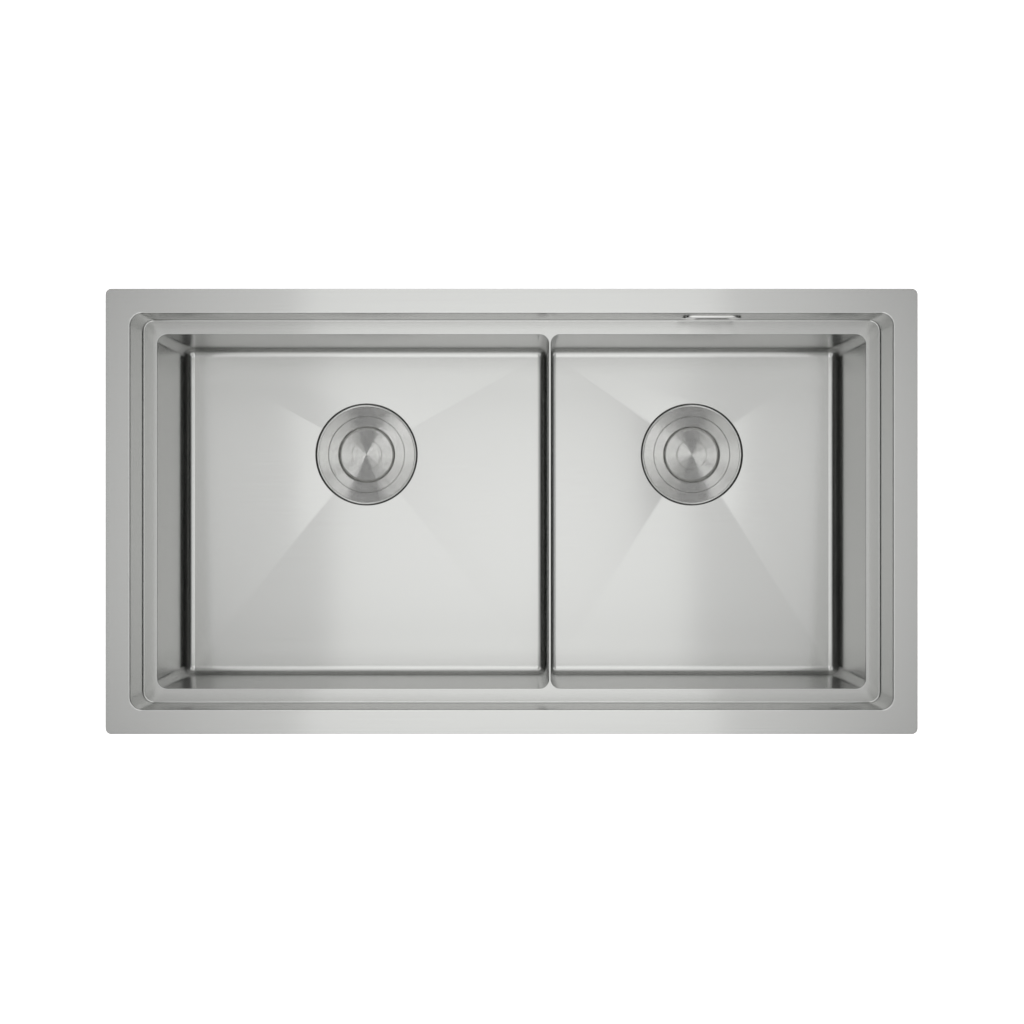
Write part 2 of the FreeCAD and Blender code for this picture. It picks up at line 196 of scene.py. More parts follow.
def sunrayBrushed(side):
    # stainless brushed from its centre outwards: each place throws the light to both sides of its own radius
    material, tree = newMaterial("sunrayBrushedStainless_" + side)
    x, y = drains[side]
    place = addNode(tree, "ShaderNodeTexCoord").outputs["Object"]
    fromAxis = addNode(tree, "ShaderNodeVectorMath", {"operation": "SUBTRACT"}, {1: (x * mm, y * mm, 0)},
                       {0: place})
    flat = addNode(tree, "ShaderNodeVectorMath", {"operation": "MULTIPLY"}, {1: (1, 1, 0)},
                   {0: fromAxis.outputs[0]})
    heading = addNode(tree, "ShaderNodeVectorMath", {"operation": "NORMALIZE"}, {}, {0: flat.outputs[0]})
    spread = addNode(tree, "ShaderNodeTexNoise", {}, {"Scale": sunray["jitterSteps"], "Detail": 2.0},
                     {"Vector": heading.outputs[0]})
    parts = addNode(tree, "ShaderNodeSeparateXYZ", links={0: heading.outputs[0]})
    turn = addNode(tree, "ShaderNodeMath", {"operation": "ARCTAN2"}, {},
                   {0: parts.outputs["Y"], 1: parts.outputs["X"]})
    even = addNode(tree, "ShaderNodeMath", {"operation": "MULTIPLY"}, {1: sunray["ridges"]},
                   {0: turn.outputs[0]})
    uneven = addNode(tree, "ShaderNodeMath", {"operation": "MULTIPLY_ADD"}, {1: sunray["jitter"]},
                     {0: spread.outputs["Fac"], 2: even.outputs[0]})
    wave = addNode(tree, "ShaderNodeMath", {"operation": "SINE"}, {}, {0: uneven.outputs[0]})
    slope = addNode(tree, "ShaderNodeMapRange", {},
                    {"From Min": -sunray["flank"], "From Max": sunray["flank"],
                     "To Min": -sunray["slope"], "To Max": sunray["slope"]}, {"Value": wave.outputs[0]})
    around = addNode(tree, "ShaderNodeVectorMath", {"operation": "CROSS_PRODUCT"}, {0: (0, 0, 1)},
                     {1: heading.outputs[0]})
    lean = addNode(tree, "ShaderNodeVectorMath", {"operation": "SCALE"}, {},
                   {0: around.outputs[0], "Scale": slope.outputs[0]})
    # the slopes go straight into the normal, because a bump loses waves finer than a pixel
    faces = addNode(tree, "ShaderNodeNewGeometry").outputs["Normal"]
    leaning = addNode(tree, "ShaderNodeVectorMath", {"operation": "ADD"}, {}, {0: faces, 1: lean.outputs[0]})
    normal = addNode(tree, "ShaderNodeVectorMath", {"operation": "NORMALIZE"}, {}, {0: leaning.outputs[0]})
    tone = addNode(tree, "ShaderNodeMix", {"data_type": "RGBA"},
                   {"A": linearColour(sunray["darkColour"]), "B": linearColour(sunray["colour"])},
                   {"Factor": spread.outputs["Fac"]})
    steel = addNode(tree, "ShaderNodeBsdfPrincipled", {}, {"Metallic": 1.0, "Roughness": sunray["roughness"]},
                    {"Base Color": tone.outputs[2], "Normal": normal.outputs[0]})
    addNode(tree, "ShaderNodeOutputMaterial", links={"Surface": steel.outputs[0]})
    return material


smallParts = {
    # stainless polished on a wheel: close to a mirror
    "trim": {"name": "polishedStainless", "colours": ("#cfcfcd", "#d8d8d6"), "metallic": 1.0,
             "roughness": 0.14, "grainSize": 6.0, "bumpHeight": 0.002},
    # pressed and punched stainless, tumbled after punching: an even satin without direction
    "basket": {"name": "tumbledStainless", "colours": ("#b4b4b2", "#c2c2c0"), "metallic": 1.0,
               "roughness": 0.30, "grainSize": 1.2, "bumpHeight": 0.006},
    # moulded nitrile rubber: near black, slightly dull
    "rubber": {"name": "mouldedNitrile", "colours": ("#1b1b1c", "#222224"), "metallic": 0.0,
               "roughness": 0.55, "grainSize": 0.8, "bumpHeight": 0.010},
    # damping sheet of filled rubber, rolled: dull grey-black with a coarse grain
    "pad": {"name": "dampingRubber", "colours": ("#2b2c2f", "#393a3e"), "metallic": 0.0,
            "roughness": 0.80, "grainSize": 2.5, "bumpHeight": 0.080},
    # pressed fibre board: warm grey-brown
    "fibre": {"name": "pressedFibre", "colours": ("#8a7a62", "#a0907a"), "metallic": 0.0,
              "roughness": 0.85, "grainSize": 1.5, "bumpHeight": 0.040},
    # moulded polypropylene: milky white with a spark-eroded texture
    "plastic": {"name": "mouldedPolypropylene", "colours": ("#d2d2ce", "#dcdcd9"), "metallic": 0.0,
                "roughness": 0.45, "grainSize": 0.7, "bumpHeight": 0.012},
}
smallPartSpread = 0.05      # how far the grain changes their roughness


def smallPartFinish(name, colours, metallic, roughness, grainSize, bumpHeight):
    # two close tones, a fine grain and a low bump
    material, tree = newMaterial(name)
    place = addNode(tree, "ShaderNodeTexCoord").outputs["Object"]
    grain = addNode(tree, "ShaderNodeTexNoise", {},
                    {"Scale": 1 / (grainSize * mm), "Detail": 4.0, "Roughness": 0.55}, {"Vector": place})
    tone = addNode(tree, "ShaderNodeMix", {"data_type": "RGBA"},
                   {"A": linearColour(colours[0]), "B": linearColour(colours[1])},
                   {"Factor": grain.outputs["Fac"]})
    rough = addNode(tree, "ShaderNodeMapRange", {},
                    {"To Min": roughness - smallPartSpread, "To Max": roughness + smallPartSpread},
                    {"Value": grain.outputs["Fac"]})
    bump = addNode(tree, "ShaderNodeBump", {}, {"Strength": 1.0, "Distance": bumpHeight * mm},
                   {"Height": grain.outputs["Fac"]})
    surface = addNode(tree, "ShaderNodeBsdfPrincipled", {}, {"Metallic": metallic},
                      {"Base Color": tone.outputs[2], "Roughness": rough.outputs[0],
                       "Normal": bump.outputs[0]})
    addNode(tree, "ShaderNodeOutputMaterial", links={"Surface": surface.outputs[0]})
    return material


finishes = {"sheet": brushedSheet(), "left": sunrayBrushed("left"), "right": sunrayBrushed("right")}
for finish, values in smallParts.items():
    finishes[finish] = smallPartFinish(**values)
print("materials ready")


# each skin of the sheet metal is one rounded rectangle, extruded again and again
sheet = {
    "thick": 1.2, "weld": 0.02, "sharpAbove": 40.0,
    "cornerSteps": 10, "bendSteps": 8, "edgeSteps": 4, "underSteps": 2,
    "rimHalf": (410.0, 225.0), "rimCornerR": 6.0, "rimEdgeR": 0.45,
    "rimTop": 1.2, "flange": 25.0, "mouthBendR": 1.5, "stepCornerR": 12.0, "stepBendR": 1.4,
    "ledgeTop": -58.8, "ledgeUnder": -60.0, "lipBendR": 0.6,
}
bowls = {
    "spans": {"left": (-370.0, 38.8), "right": (41.2, 370.0)}, "halfDeep": 185.0,
    "bendR": 10.0, "bendSteps": 12, "footCornerR": 0.004, "floor": -218.8, "fall": 6.0,
    "seat": -227.2, "recessR": 57.8, "mouthR": 0.8, "footR": 2.4, "holeR": 46.0,
    "ringSteps": 128, "arcSteps": 6, "markNear": 0.001,
    "turnSlack": 0.0001,        # radians
}


def rectangle(spanX, spanY, cornerR):
    return {"x": spanX, "y": spanY, "r": cornerR}


def firstLoop(bm, shape, z):
    # a plain rectangle with its four corners rounded, kept as a loop of edges
    made = bmesh.ops.create_grid(bm, x_segments=1, y_segments=1, size=0.5)
    corners = made["verts"]
    (x0, x1), (y0, y1) = shape["x"], shape["y"]
    bmesh.ops.scale(bm, vec=((x1 - x0) * mm, (y1 - y0) * mm, 1), verts=corners)
    bmesh.ops.translate(bm, vec=Vector(((x0 + x1) / 2, (y0 + y1) / 2, z)) * mm, verts=corners)
    rounded = bmesh.ops.bevel(bm, geom=corners, offset=shape["r"] * mm, offset_type="OFFSET",
                              segments=sheet["cornerSteps"], profile=0.5, affect="VERTICES", material=-1)
    edges = list({e for v in rounded["verts"] for e in v.link_edges})
    bmesh.ops.delete(bm, geom=list({f for e in edges for f in e.link_faces}), context="FACES_ONLY")
    return edges


def extruded(bm, edges):
    made = bmesh.ops.extrude_edge_only(bm, edges=edges)["geom"]
    fresh = {g for g in made if isinstance(g, bmesh.types.BMVert)}
    return fresh, [g for g in made if isinstance(g, bmesh.types.BMEdge) and set(g.verts) <= fresh]


def nextLoop(bm, edges, old, new, z):
    # extrudes the loop and fits it to another rounded rectangle, each point keeping its turn round its corner
    verts, edges = extruded(bm, edges)
    for v in verts:
        place = []
        for axis, co in (("x", v.co.x), ("y", v.co.y)):
            oldLow, oldHigh = old[axis]
            newLow, newHigh = new[axis]
            if co / mm > (oldLow + oldHigh) / 2:
                place.append(newHigh - new["r"] + (co / mm - oldHigh + old["r"]) * new["r"] / old["r"])
            else:
                place.append(newLow + new["r"] + (co / mm - oldLow - old["r"]) * new["r"] / old["r"])
        v.co = Vector((*place, z)) * mm
    return edges


def extrudeThrough(bm, edges, steps):
    # steps are (rounded rectangle, height) pairs, the first of them the loop as it is
    for (old, _), (new, z) in zip(steps, steps[1:]):
        edges = nextLoop(bm, edges, old, new, z)
    return edges


def loopVerts(edges):
    return list({v for e in edges for v in e.verts})


def arc(steps):
    # quarter turn in equal steps, both ends included
    return [math.pi / 2 * k / steps for k in range(steps + 1)]


def insetRim(inset, cornerR):
    halfX, halfY = (h - inset for h in sheet["rimHalf"])
    return rectangle((-halfX, halfX), (-halfY, halfY), cornerR)


def insetStep(inset):
    # its corners share their centres with the step wall's
    return insetRim(inset, sheet["stepCornerR"] + sheet["flange"] - inset)


def deckTopSteps():
    s, steps = sheet, []
    top, edgeR, mouthR, bendR = s["rimTop"], s["rimEdgeR"], s["mouthBendR"], s["stepBendR"]
    steps.append((insetRim(0, s["rimCornerR"]), 0))
    for a in arc(s["edgeSteps"]):           # outer edge, eased
        inset = edgeR * (1 - math.cos(a))
        steps.append((insetRim(inset, s["rimCornerR"] - inset), top - edgeR * (1 - math.sin(a))))
    for a in arc(s["bendSteps"]):           # flange down into the step wall
        inset = s["flange"] - mouthR * (1 - math.sin(a))
        steps.append((insetStep(inset), top - mouthR * (1 - math.cos(a))))
    for a in arc(s["bendSteps"]):           # step wall out onto the ledge
        inset = s["flange"] + bendR * (1 - math.cos(a))
        steps.append((insetStep(inset), s["ledgeTop"] + bendR * (1 - math.sin(a))))
    return steps


def deckUnderSteps():
    s = sheet
    steps = [(insetRim(0, s["rimCornerR"]), 0)]
    innerR, outerR = s["mouthBendR"] - s["thick"], s["stepBendR"] + s["thick"]
    outer = s["flange"] - s["thick"]
    for a in arc(s["underSteps"]):          # underside of the flange into the wall's outer face
        inset = outer - innerR * (1 - math.sin(a))
        steps.append((insetStep(inset), -innerR * (1 - math.cos(a))))
    for a in arc(s["bendSteps"]):           # outer face out under the ledge
        inset = outer + outerR * (1 - math.cos(a))
        steps.append((insetStep(inset), s["ledgeUnder"] + outerR * (1 - math.sin(a))))
    return steps


def lipSteps(spanX):
    # ledge down into a bowl
    s, steps = sheet, []
    for a in arc(s["edgeSteps"]):
        out = s["lipBendR"] * (1 - math.sin(a))
        deep = bowls["halfDeep"] + out
        steps.append((rectangle((spanX[0] - out, spanX[1] + out), (-deep, deep), bowls["bendR"] + out),
                      s["ledgeTop"] - s["lipBendR"] * (1 - math.cos(a))))
    steps.append((steps[-1][0], s["ledgeUnder"]))
    return steps


def buildDeck():
    bm = bmesh.new()
    top = deckTopSteps()
    outline = firstLoop(bm, *top[0])
    topEdges = extrudeThrough(bm, outline, top)
    lowEdges = extrudeThrough(bm, outline, deckUnderSteps())
    for spanX in bowls["spans"].values():
        steps = lipSteps(spanX)
        lip = firstLoop(bm, *steps[0])
        topEdges = topEdges + lip
        lowEdges = lowEdges + extrudeThrough(bm, lip, steps)
    for edges in (topEdges, lowEdges):
        bmesh.ops.triangle_fill(bm, edges=edges, use_beauty=True)
    bmesh.ops.recalc_face_normals(bm, faces=bm.faces)
    piece = addPiece("sinkDeck", bm, finishes["sheet"], "sink", ["deck"])
    smoothBy(piece.data, sheet["sharpAbove"])
    cutOverflowSlot(piece)
    weightNormals(piece)


overflow = {
    "middle": (205.6, 200.0, -28.8), "slotLong": 36.0, "slotHigh": 8.0, "cutterDeep": 8.0,
    "trimLong": 60.0, "trimHigh": 20.0, "trimThick": 2.3, "trimEdgeR": 1.0, "trimEdgeSteps": 3,
    # the flat left at each round end, welded afterwards
    "endSteps": 14, "endFlat": 0.01, "weld": 0.03,
}


def pillShape(bm, long, high, y):
    # flat bar with round ends, upright at one Y
    made = bmesh.ops.create_grid(bm, x_segments=1, y_segments=1, size=0.5)
    corners = made["verts"]
    bmesh.ops.scale(bm, vec=(long * mm, high * mm, 1), verts=corners)
    bmesh.ops.rotate(bm, cent=(0, 0, 0), matrix=Matrix.Rotation(math.radians(90), 3, "X"), verts=corners)
    x, _, z = overflow["middle"]
    bmesh.ops.translate(bm, vec=Vector((x, y, z)) * mm, verts=corners)
    endR = high / 2 - overflow["endFlat"]
    rounded = bmesh.ops.bevel(bm, geom=corners, offset=endR * mm, offset_type="OFFSET",
                              segments=overflow["endSteps"], profile=0.5, affect="VERTICES", material=-1)
    bmesh.ops.remove_doubles(bm, verts=rounded["verts"], dist=overflow["weld"] * mm)
    return list({f for v in rounded["verts"] if v.is_valid for f in v.link_faces})


def thickened(bm, faces, depth):
    pushed = bmesh.ops.extrude_face_region(bm, geom=faces)["geom"]
    verts = [g for g in pushed if isinstance(g, bmesh.types.BMVert)]
    bmesh.ops.translate(bm, vec=(0, depth * mm, 0), verts=verts)
    bmesh.ops.recalc_face_normals(bm, faces=bm.faces)
    return verts


def cutOverflowSlot(piece):
    bm = bmesh.new()
    front = overflow["middle"][1] - overflow["cutterDeep"] / 2
    thickened(bm, pillShape(bm, overflow["slotLong"], overflow["slotHigh"], front), overflow["cutterDeep"])
    mesh = bpy.data.meshes.new("slotCutter")
    bm.to_mesh(mesh)
    bm.free()
    cutter = bpy.data.objects.new("slotCutter", mesh)
    bpy.context.scene.collection.objects.link(cutter)
    addModifier(piece, "overflowSlot", "BOOLEAN",
                {"operation": "DIFFERENCE", "solver": "EXACT", "object": cutter})
    bpy.context.view_layer.update()
    shaped = bpy.data.meshes.new_from_object(piece.evaluated_get(bpy.context.evaluated_depsgraph_get()))
    piece.modifiers.clear()
    piece.data = shaped
    bpy.data.objects.remove(cutter)


def buildTrim():
    # polished plate round the overflow slot, on the back wall of the step
    bm = bmesh.new()
    faces = pillShape(bm, overflow["trimLong"], overflow["trimHigh"], overflow["middle"][1])
    front = set(thickened(bm, faces, -overflow["trimThick"]))
    frontEdges = [e for e in bm.edges if set(e.verts) <= front]
    bmesh.ops.bevel(bm, geom=frontEdges, offset=overflow["trimEdgeR"] * mm,
                    segments=overflow["trimEdgeSteps"], profile=0.5, affect="EDGES", material=-1)
    piece = addPiece("overflowTrimPlate", bm, finishes["trim"], "sink", ["overflow_trim"])
    smoothBy(piece.data, sheet["sharpAbove"])
    cutOverflowSlot(piece)
    weightNormals(piece)


buildDeck()
buildTrim()
print("deck and overflow trim built")


def floorFoot(side):
    # where the flat floor ends, left, right, front and back
    (x0, x1), deep, r = bowls["spans"][side], bowls["halfDeep"], bowls["bendR"]
    return x0 + r, x1 - r, r - deep, deep - r


def facetHeight(side, x, y):
    # height of the four floor facets above the drain point, as a share of the fall
    cx, cy = drains[side]
    left, right, front, back = floorFoot(side)
    return max((x - cx) / (right - cx), (cx - x) / (cx - left), (y - cy) / (back - cy),
               (cy - y) / (cy - front))


def creaseAngles(side):
    cx, cy = drains[side]
    left, right, front, back = floorFoot(side)
    corners = [(right, back), (left, back), (left, front), (right, front)]
    return [(math.atan2(y - cy, x - cx) % (2 * math.pi), (x, y)) for x, y in corners]


def firstRing(bm, side):
    # circle round the drain with one point on each crease
    made = bmesh.ops.create_circle(bm, cap_ends=False, segments=bowls["ringSteps"], radius=1.0)
    step = 2 * math.pi / bowls["ringSteps"]
    for v in made["verts"]:
        turn = math.atan2(v.co.y, v.co.x) % (2 * math.pi)
        for crease, _ in creaseAngles(side):
            if abs(turn - crease) <= step / 2:
                turn = crease
        v.co = (drains[side][0] * mm + math.cos(turn), drains[side][1] * mm + math.sin(turn), 0)
    return list({e for v in made["verts"] for e in v.link_edges})


def placeRing(verts, side, radius, level=None, drop=0.0):
    # at one level, or following the floor facets as they are at the mouth of the recess
    cx, cy = drains[side]
    mouth = bowls["recessR"] + bowls["mouthR"]
    for v in verts:
        away = Vector((v.co.x - cx * mm, v.co.y - cy * mm)).normalized()
        z = level
        if level is None:
            share = facetHeight(side, cx + mouth * away.x, cy + mouth * away.y)
            z = bowls["floor"] - bowls["fall"] * (1 - share) - drop
        v.co = Vector((cx + radius * away.x, cy + radius * away.y, z)) * mm


def bowlSkin(bm, side, wall, rim=None):
    # inner skin with wall 0; the outer skin starts from the inner one's rim and has the sheet's thickness
    b, (x0, x1) = bowls, bowls["spans"][side]
    deep, bendR = b["halfDeep"], b["bendR"]
    steps = [(rectangle((x0 - wall, x1 + wall), (-deep - wall, deep + wall), bendR + wall),
              sheet["ledgeUnder"])]
    for a in arc(b["bendSteps"]):
        inset = (bendR + wall) * (1 - math.cos(a)) - wall
        cornerR = max(bendR - inset, b["footCornerR"])
        steps.append((rectangle((x0 + inset, x1 - inset), (inset - deep, deep - inset), cornerR),
                      b["floor"] - wall + (bendR + wall) * (1 - math.sin(a))))
    if rim:
        top = nextLoop(bm, rim, rectangle((x0, x1), (-deep, deep), bendR), *steps[0])
    else:
        top = firstLoop(bm, *steps[0])
    foot = loopVerts(extrudeThrough(bm, top, steps))
    bmesh.ops.remove_doubles(bm, verts=foot, dist=sheet["weld"] * mm)
    foot = [v for v in foot if v.is_valid]
    ring = firstRing(bm, side)
    ringVerts = loopVerts(ring)
    placeRing(ringVerts, side, b["recessR"] + b["mouthR"], drop=wall)
    for a in arc(b["arcSteps"])[1:]:        # facets down into the recess
        verts, ring = extruded(bm, ring)
        placeRing(verts, side, b["recessR"] + b["mouthR"] - (b["mouthR"] - wall) * math.sin(a),
                  drop=b["mouthR"] * (1 - math.cos(a)) + wall * math.cos(a))
    for a in arc(b["arcSteps"]):            # recess wall onto the strainer's seat
        verts, ring = extruded(bm, ring)
        placeRing(verts, side, b["recessR"] + wall - (b["footR"] + wall) * (1 - math.cos(a)),
                  level=b["seat"] - wall + (b["footR"] + wall) * (1 - math.sin(a)))
    verts, ring = extruded(bm, ring)
    placeRing(verts, side, b["holeR"], level=b["seat"] - wall)
    fillFacets(bm, side, foot, ringVerts)
    return top, ring


def fillFacets(bm, side, foot, ringVerts):
    # one face between two creases, from its run of the ring to its two corners of the floor
    cx, cy = drains[side]
    slack = bowls["turnSlack"]
    creases = sorted(creaseAngles(side))
    for (start, startCorner), (end, endCorner) in zip(creases, creases[1:] + creases[:1]):
        width = (end - start) % (2 * math.pi)

        def turnFrom(v):
            return (math.atan2(v.co.y / mm - cy, v.co.x / mm - cx) - start + slack) % (2 * math.pi)

        run = sorted((v for v in ringVerts if turnFrom(v) <= width + 2 * slack), key=turnFrom)
        ends = [min(foot, key=lambda v: (v.co.xy - Vector(c) * mm).length) for c in (endCorner, startCorner)]
        bm.faces.new(run + ends).tag = True


def sameEdge(ends, mark):
    # both have their two points in the same places, either way round
    near = bowls["markNear"] * mm
    return any(sum((a - b).length for a, b in zip(way, mark)) < near for way in (ends, ends[::-1]))


def buildBowl(side):
    bm = bmesh.new()
    rim, innerHole = bowlSkin(bm, side, 0)
    _, outerHole = bowlSkin(bm, side, sheet["thick"], rim)
    verts, _ = extruded(bm, outerHole)      # the drain hole's edge, up to the inner skin
    placeRing(verts, side, bowls["holeR"], level=bowls["seat"])
    bmesh.ops.remove_doubles(bm, verts=list(verts) + loopVerts(innerHole), dist=sheet["weld"] * mm)
    creased = [e for e in bm.edges if len(e.link_faces) == 2 and all(f.tag for f in e.link_faces)]
    marks = [[v.co.copy() for v in e.verts] for e in creased]
    bmesh.ops.recalc_face_normals(bm, faces=bm.faces)
    piece = addPiece(side + "BowlShell", bm, finishes["sheet"], "sink", [side + "_bowl"])
    mesh = piece.data
    smoothBy(mesh, sheet["sharpAbove"])
    for e in mesh.edges:
        ends = [mesh.vertices[i].co for i in e.vertices]
        if any(sameEdge(ends, mark) for mark in marks):
            e.use_edge_sharp = True
    weightNormals(piece)


for side in bowls["spans"]:
    buildBowl(side)
print("bowls built")


# turned pieces: corners of (radius, height, rounding), spun about the drain's axis
turning = {"steps": 128, "roundSteps": 5, "sharpAbove": 32.0, "weld": 0.002, "near": 0.0001}


def turnedPiece(name, side, outline, body, replaced, roundSteps=turning["roundSteps"]):
    bm = bmesh.new()
    near = turning["near"] * mm
    corners = [(Vector((r, 0, z)) * mm, rounding) for r, z, rounding in outline]
    bm.faces.new([bm.verts.new(co) for co, _ in corners])
    for radius in sorted({rounding for _, rounding in corners if rounding}):
        # looked up by place each time, because a bevel renumbers the others
        picked = [v for v in bm.verts if any((v.co - co).length < near for co, r in corners if r == radius)]
        bmesh.ops.bevel(bm, geom=picked, offset=radius * mm, offset_type="OFFSET",
                        segments=roundSteps + int(radius), profile=0.5, affect="VERTICES", material=-1)
    bmesh.ops.delete(bm, geom=list(bm.faces), context="FACES_ONLY")
    axis = [e for e in bm.edges if all(abs(v.co.x) < near for v in e.verts)]
    bmesh.ops.delete(bm, geom=axis, context="EDGES")
    bmesh.ops.spin(bm, geom=list(bm.verts) + list(bm.edges), cent=(0, 0, 0), axis=(0, 0, 1),
                   angle=2 * math.pi, steps=turning["steps"], use_merge=True)
    bmesh.ops.remove_doubles(bm, verts=bm.verts, dist=turning["weld"] * mm)
    bmesh.ops.recalc_face_normals(bm, faces=bm.faces)
    x, y = drains[side]
    bmesh.ops.translate(bm, vec=Vector((x, y, 0)) * mm, verts=bm.verts)
    piece = addPiece(side + name, bm, finishes[side], body, replaced)
    smoothBy(piece.data, turning["sharpAbove"])
    weightNormals(piece)


strainer = {
    "flangeR": 55.0, "flangeTop": -224.8, "flangeUnder": -226.2, "edgeR": 0.8,
    "pocketR": 43.7, "pocketFloor": -226.6, "pocketEdgeR": 0.3, "pocketFootR": 0.2,
    "cupR": 39.5, "cupOuterR": 40.7, "cupFloor": -274.8, "cupUnder": -276.0, "cupEdgeR": 0.4, "cupBend": 7.0,
    "collarR": 44.9, "collarEnd": -227.8, "collarEdgeR": 0.2, "collarFootR": 0.3,
    "neckR": 23.9, "boreR": 19.5, "boreEdgeR": 0.6, "neckEnd": -302.0, "neckEdgeR": 0.3,
}
# rolled 1 1/2 inch pipe thread round the outlet neck
thread = {
    "deep": 1.2, "sunk": 0.1, "crest": 0.3, "root": 2.1,
    "pitch": 2.31, "top": -278.0, "turns": 9, "stepsPerTurn": 48,
}


def strainerOutline():
    s = strainer
    threadRootR = s["neckR"] - thread["deep"]
    return [
        (s["flangeR"], s["flangeUnder"], 0), (s["flangeR"], s["flangeTop"], s["edgeR"]),
        (s["pocketR"], s["flangeTop"], s["pocketEdgeR"]), (s["pocketR"], s["pocketFloor"], s["pocketFootR"]),
        (s["cupR"], s["pocketFloor"], s["cupEdgeR"]), (s["cupR"], s["cupFloor"], s["cupBend"]),
        (s["boreR"], s["cupFloor"], s["boreEdgeR"]), (s["boreR"], s["neckEnd"], 0),
        (threadRootR, s["neckEnd"], s["neckEdgeR"]), (threadRootR, s["cupUnder"], 0),
        (s["cupOuterR"], s["cupUnder"], s["cupBend"]), (s["cupOuterR"], s["collarEnd"], s["collarFootR"]),
        (s["collarR"], s["collarEnd"], s["collarEdgeR"]), (s["collarR"], s["flangeUnder"], 0),
    ]


def buildThread(side):
    bm = bmesh.new()
    t = thread
    crestR = strainer["neckR"]
    rootR = crestR - t["deep"] - t["sunk"]
    halfCrest, halfRoot = t["crest"] / 2, t["root"] / 2
    profile = [(rootR, -halfRoot), (crestR, -halfCrest), (crestR, halfCrest), (rootR, halfRoot)]
    bm.faces.new([bm.verts.new(Vector((r, 0, t["top"] + z)) * mm) for r, z in profile])
    bmesh.ops.spin(bm, geom=list(bm.verts) + list(bm.edges) + list(bm.faces), cent=(0, 0, 0), axis=(0, 0, 1),
                   dvec=(0, 0, -t["pitch"] / t["stepsPerTurn"] * mm), angle=2 * math.pi * t["turns"],
                   steps=t["turns"] * t["stepsPerTurn"])
    bmesh.ops.recalc_face_normals(bm, faces=bm.faces)
    x, y = drains[side]
    bmesh.ops.translate(bm, vec=Vector((x, y, 0)) * mm, verts=bm.verts)
    piece = addPiece(side + "NeckThread", bm, finishes[side], "sink")
    smoothBy(piece.data, turning["sharpAbove"])


lid = {
    "r": 43.0, "top": -224.8, "thick": 1.0, "edgeR": 0.3, "underEdgeR": 0.2, "roundSteps": 8,
    "dishR": 32.3, "dishFootR": 30.8, "dishFloor": -231.8, "wallOut": 0.5,
    "shoulderR": 0.5, "underShoulderR": 0.9, "hollowR": 2.2, "underHollowR": 4.5,
}


def lidOutline():
    s = lid
    plateUnder, dishUnder = s["top"] - s["thick"], s["dishFloor"] - s["thick"]
    return [
        (0, s["dishFloor"], 0), (s["dishFootR"], s["dishFloor"], s["hollowR"]),
        (s["dishR"], s["top"], s["shoulderR"]), (s["r"], s["top"], s["edgeR"]),
        (s["r"], plateUnder, s["underEdgeR"]), (s["dishR"] + s["wallOut"], plateUnder, s["underShoulderR"]),
        (s["dishFootR"] + s["wallOut"], dishUnder, s["underHollowR"]), (0, dishUnder, 0),
    ]


knob = {
    "r": 17.0, "top": -224.3, "edgeR": 0.7, "headLow": -227.9, "headEdgeR": 0.6,
    "stemR": 8.0, "hollowR": 1.2, "foot": -231.8,
}


def knobOutline():
    s = knob
    return [
        (0, s["foot"], 0), (s["stemR"], s["foot"], 0), (s["stemR"], s["headLow"], s["hollowR"]),
        (s["r"], s["headLow"], s["headEdgeR"]), (s["r"], s["top"], s["edgeR"]), (0, s["top"], 0),
    ]


for side in drains:
    turnedPiece("StrainerBody", side, strainerOutline(), "sink", ["strainer_bodies"])
    buildThread(side)
    turnedPiece("LidPlate", side, lidOutline(), side + "_cover", [side + "_lid"], lid["roundSteps"])
    turnedPiece("LidKnob", side, knobOutline(), side + "_cover", [side + "_lid_knob"])
print("strainers and lids built")


# CAD solids that keep their shape get a finish and softened edges of this radius
dressed = {
    "overflow_gasket": ("rubber", 0.2), "overflow_housing": ("plastic", 0.5),
    "wall_pads": ("pad", 0.4), "floor_pads": ("pad", 0.3), "flange_gaskets": ("rubber", 0.15),
    "floor_gaskets": ("rubber", 0.5), "friction_rings": ("fibre", 0.2), "lock_nuts": ("plastic", 0.6),
    "left_basket_cup": ("basket", 0.12), "right_basket_cup": ("basket", 0.12),
    "left_pull_post": ("left", 0.5), "right_pull_post": ("right", 0.5),
    "left_plug": ("rubber", 0.6), "right_plug": ("rubber", 0.6),
}
softening = {"weld": 0.01, "steps": 2, "sharpAbove": 40.0}
for name, (finish, edgeR) in dressed.items():
    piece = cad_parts[name]
    piece.data.materials.clear()
    piece.data.materials.append(finishes[finish])
    addModifier(piece, "weld", "WELD", {"merge_threshold": softening["weld"] * mm})
    addModifier(piece, "softEdges", "BEVEL", {"width": edgeR * mm, "segments": softening["steps"],
                                              "limit_method": "ANGLE", "harden_normals": False,
                                              "angle_limit": math.radians(softening["sharpAbove"])})
    weightNormals(piece)
print("solids dressed")


# lengths here are metres, and a strength is what a mirror shows
studio = {
    "floorSize": 16.0, "floorDrop": 0.0005, "floorColour": "#e6e6e4", "floorGlow": 0.86,
    # two soft panels under each other, so the light fades towards its edges
    "panels": {
        "widePanel": {"wide": 1.38, "deep": 0.76, "height": 0.952, "strength": 0.39},
        "innerPanel": {"wide": 0.66, "deep": 0.84, "height": 0.950, "strength": 0.33},
    },
}


def seenDirectly(tree):
    # 1 for what the camera, metal and glass see, 0 for the light that falls on things
    path = addNode(tree, "ShaderNodeLightPath").outputs
    first = addNode(tree, "ShaderNodeMath", {"operation": "MAXIMUM"}, {},
                    {0: path["Is Camera Ray"], 1: path["Is Glossy Ray"]})
    both = addNode(tree, "ShaderNodeMath", {"operation": "MAXIMUM"}, {},
                   {0: first.outputs[0], 1: path["Is Transmission Ray"]})
    return both.outputs[0]


